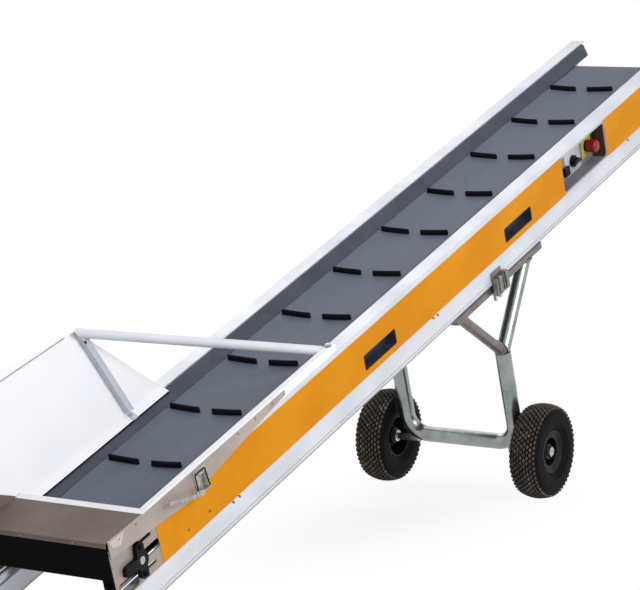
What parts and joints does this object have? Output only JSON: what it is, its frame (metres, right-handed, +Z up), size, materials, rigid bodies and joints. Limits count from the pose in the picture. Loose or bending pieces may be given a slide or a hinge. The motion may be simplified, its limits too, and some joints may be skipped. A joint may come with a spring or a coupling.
{
  "type": "portable belt conveyor",
  "caption": "Portable inclined belt conveyor with cleated belt, aluminium side rails, loading hopper at the tail and a tube stand on wheels.",
  "frame": {"origin": "on the floor, under the middle of the conveyor's box", "axes": "+X uphill along the belt, level with the floor, +Y to the far side, away from the control panel, +Z up"},
  "size_m": [3.2034, 0.602, 1.2868],
  "materials": {
    "rail_aluminium": "extruded, mill finish",
    "stripe_film": "satin film",
    "skirt_rubber": "matte",
    "belt_rubber": "matte, fine grained",
    "bed_steel": "galvanised sheet",
    "drum_steel": "turned",
    "roller_plastic": "moulded",
    "black_cast": "painted black",
    "tail_black": "satin black",
    "foot_rubber": "matte",
    "hopper_white": "satin white",
    "zinc_steel": "bright zinc plated",
    "galvanised_tube": "galvanised",
    "tyre_rubber": "block tread, dusty",
    "rim_black": "moulded black",
    "control_grey": "moulded",
    "stop_red": "gloss",
    "stop_yellow": "satin",
    "switch_black": "satin"
  },
  "bodies": {
    "conveyor": {"axle_far": "zinc_steel", "axle_near": "zinc_steel", "belt": "belt_rubber", "control_tray": "control_grey", "emergency_stop": "stop_red", "emergency_stop_plate": "stop_yellow", "foot_far": "foot_rubber", "foot_near": "foot_rubber", "head_drum": "drum_steel", "hopper_brace": "hopper_white", "hopper_end_wall": "hopper_white", "hopper_far_wall": "hopper_white", "hopper_hanger": "hopper_white", "hopper_near_plate": "hopper_white", "hopper_post": "hopper_white", "hopper_rim": "hopper_white", "inlet_socket": "switch_black", "return_rollers_far": "roller_plastic", "return_rollers_near": "roller_plastic", "side_rail_far": "rail_aluminium", "side_rail_near": "rail_aluminium", "skirt_far": "skirt_rubber", "skirt_near": "skirt_rubber", "slider_bed": "bed_steel", "spreaders": "zinc_steel", "stand_bar_far": "galvanised_tube", "stand_bar_near": "galvanised_tube", "stand_clamp_far": "zinc_steel", "stand_clamp_near": "zinc_steel", "stand_hoop": "galvanised_tube", "stand_leg_far": "galvanised_tube", "stand_leg_near": "galvanised_tube", "stand_strut_far": "galvanised_tube", "stand_strut_near": "galvanised_tube", "start_switch": "switch_black", "stripe_film_far": "stripe_film", "stripe_film_near": "stripe_film", "tail_drum": "drum_steel", "tail_plate": "tail_black", "tensioner_far": "black_cast", "tensioner_near": "black_cast", "toggle_latch_far": "zinc_steel", "toggle_latch_near": "zinc_steel"},
    "wheel_near": {"tyre_near": "tyre_rubber", "wheel_rim_near": "rim_black"},
    "wheel_far": {"tyre_far": "tyre_rubber", "wheel_rim_far": "rim_black"}
  },
  "joints": [
    {"name": "wheel_near_spin", "type": "hinge", "parent": "conveyor", "child": "wheel_near", "pos_m": [0.45493, -0.255, 0.138], "axis": [0, 1, 0], "continuous": true},
    {"name": "wheel_far_spin", "type": "hinge", "parent": "conveyor", "child": "wheel_far", "pos_m": [0.45493, 0.255, 0.138], "axis": [0, 1, 0], "continuous": true}
  ]
}
